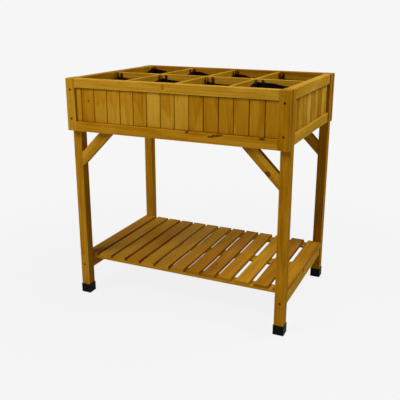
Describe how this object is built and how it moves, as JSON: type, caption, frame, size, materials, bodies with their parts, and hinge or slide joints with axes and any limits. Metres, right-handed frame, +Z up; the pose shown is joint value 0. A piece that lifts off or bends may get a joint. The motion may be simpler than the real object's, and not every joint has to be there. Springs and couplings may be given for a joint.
{
  "type": "raised garden bed",
  "caption": "Waist-high slatted softwood planter box with lined pockets between wooden dividers, on square braced legs with foot caps and a low slatted shelf.",
  "frame": {"origin": "on the floor, under the middle of the bed", "axes": "+Z up, +X to the right and -Y to the front as the picture shows it"},
  "size_m": [0.788, 0.58, 0.8],
  "materials": {
    "stained_softwood": "honey-brown stain on planed softwood, satin, with knots",
    "foot_cap_plastic": "black moulded plastic, fine matt texture",
    "liner_felt": "black non-woven planting fabric with sewn hems and webbing tabs",
    "screw_steel": "dark brown coated steel wood screws and bright brads"
  },
  "bodies": {
    "bed": {"brace_front_left": "stained_softwood", "brace_front_right": "stained_softwood", "brace_rear_left": "stained_softwood", "brace_rear_right": "stained_softwood", "brace_screws": "screw_steel", "cross_divider_left": "stained_softwood", "cross_divider_middle": "stained_softwood", "cross_divider_right": "stained_softwood", "floor_brads": "screw_steel", "floor_slats": "stained_softwood", "foot_cap_front_left": "foot_cap_plastic", "foot_cap_front_right": "foot_cap_plastic", "foot_cap_rear_left": "foot_cap_plastic", "foot_cap_rear_right": "foot_cap_plastic", "front_bottom_rail": "stained_softwood", "front_floor_ledger": "stained_softwood", "front_left_stile": "stained_softwood", "front_right_stile": "stained_softwood", "front_slats": "stained_softwood", "front_top_rail": "stained_softwood", "ledger_screws": "screw_steel", "left_bottom_rail": "stained_softwood", "left_slats": "stained_softwood", "left_top_rail": "stained_softwood", "leg_front_left": "stained_softwood", "leg_front_right": "stained_softwood", "leg_rear_left": "stained_softwood", "leg_rear_right": "stained_softwood", "long_divider": "stained_softwood", "rear_bottom_rail": "stained_softwood", "rear_floor_ledger": "stained_softwood", "rear_left_stile": "stained_softwood", "rear_right_stile": "stained_softwood", "rear_slats": "stained_softwood", "rear_top_rail": "stained_softwood", "right_bottom_rail": "stained_softwood", "right_slats": "stained_softwood", "right_top_rail": "stained_softwood", "shelf_brads": "screw_steel", "shelf_front_bearer": "stained_softwood", "shelf_left_rail": "stained_softwood", "shelf_middle_bearer": "stained_softwood", "shelf_panel_screws": "screw_steel", "shelf_rail_screws": "screw_steel", "shelf_rear_bearer": "stained_softwood", "shelf_right_rail": "stained_softwood", "shelf_slats": "stained_softwood", "side_rail_screws": "screw_steel", "stile_screws": "screw_steel"},
    "liner_front_1": {"liner_front_1": "liner_felt"},
    "liner_front_2": {"liner_front_2": "liner_felt"},
    "liner_front_3": {"liner_front_3": "liner_felt"},
    "liner_front_4": {"liner_front_4": "liner_felt"},
    "liner_rear_1": {"liner_rear_1": "liner_felt"},
    "liner_rear_2": {"liner_rear_2": "liner_felt"},
    "liner_rear_3": {"liner_rear_3": "liner_felt"},
    "liner_rear_4": {"liner_rear_4": "liner_felt"}
  },
  "joints": [
    {"name": "liner_front_1_lift", "type": "slide", "parent": "bed", "child": "liner_front_1", "axis": [0, 0, 1], "range_m": [0, 0.16]},
    {"name": "liner_front_2_lift", "type": "slide", "parent": "bed", "child": "liner_front_2", "axis": [0, 0, 1], "range_m": [0, 0.16]},
    {"name": "liner_front_3_lift", "type": "slide", "parent": "bed", "child": "liner_front_3", "axis": [0, 0, 1], "range_m": [0, 0.16]},
    {"name": "liner_front_4_lift", "type": "slide", "parent": "bed", "child": "liner_front_4", "axis": [0, 0, 1], "range_m": [0, 0.16]},
    {"name": "liner_rear_1_lift", "type": "slide", "parent": "bed", "child": "liner_rear_1", "axis": [0, 0, 1], "range_m": [0, 0.16]},
    {"name": "liner_rear_2_lift", "type": "slide", "parent": "bed", "child": "liner_rear_2", "axis": [0, 0, 1], "range_m": [0, 0.16]},
    {"name": "liner_rear_3_lift", "type": "slide", "parent": "bed", "child": "liner_rear_3", "axis": [0, 0, 1], "range_m": [0, 0.16]},
    {"name": "liner_rear_4_lift", "type": "slide", "parent": "bed", "child": "liner_rear_4", "axis": [0, 0, 1], "range_m": [0, 0.16]}
  ]
}
